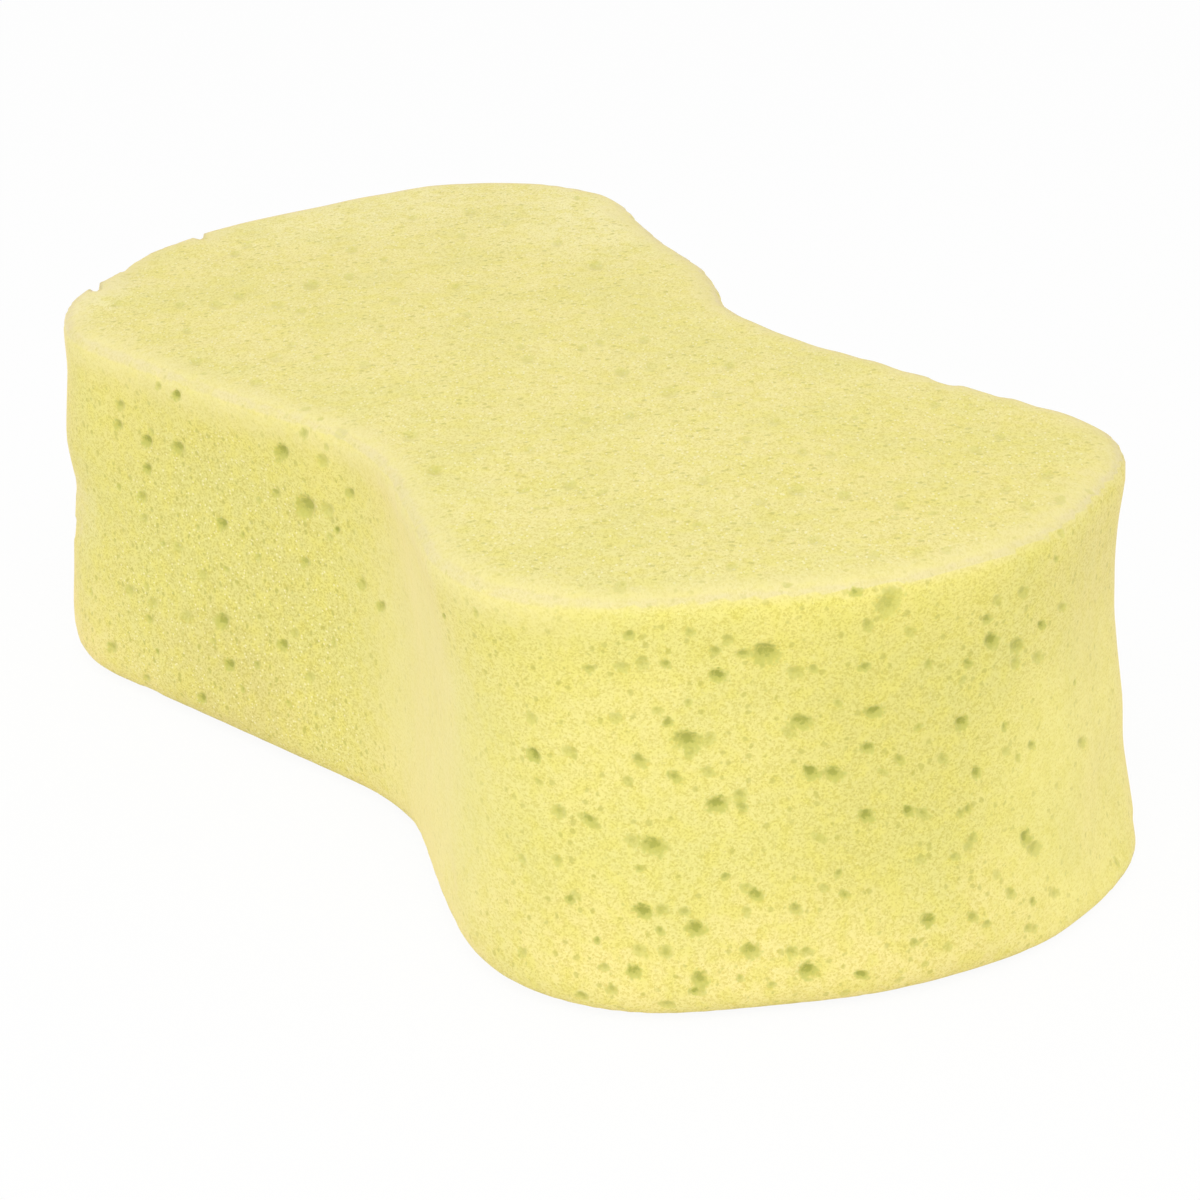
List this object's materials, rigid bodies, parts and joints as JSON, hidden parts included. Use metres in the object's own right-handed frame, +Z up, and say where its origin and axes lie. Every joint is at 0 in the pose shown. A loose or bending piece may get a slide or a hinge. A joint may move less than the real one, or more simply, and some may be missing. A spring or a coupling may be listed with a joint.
{
  "type": "cleaning sponge",
  "caption": "Block of soft open-cell foam with a loose figure-eight outline, flat top and base, a gently hollow wall, soft edges and open pores, used for wiping and washing.",
  "frame": {"origin": "centre of the base, under the middle of the length and width", "axes": "+X along the length towards the narrower lobe, +Y across it, +Z up from the base through the height"},
  "size_m": [0.22, 0.118, 0.061],
  "materials": {
    "foam": "soft matte open-cell polyurethane foam, pale yellow, with greener pores"
  },
  "bodies": {
    "root": {"foam_block": "foam"}
  },
  "joints": []
}
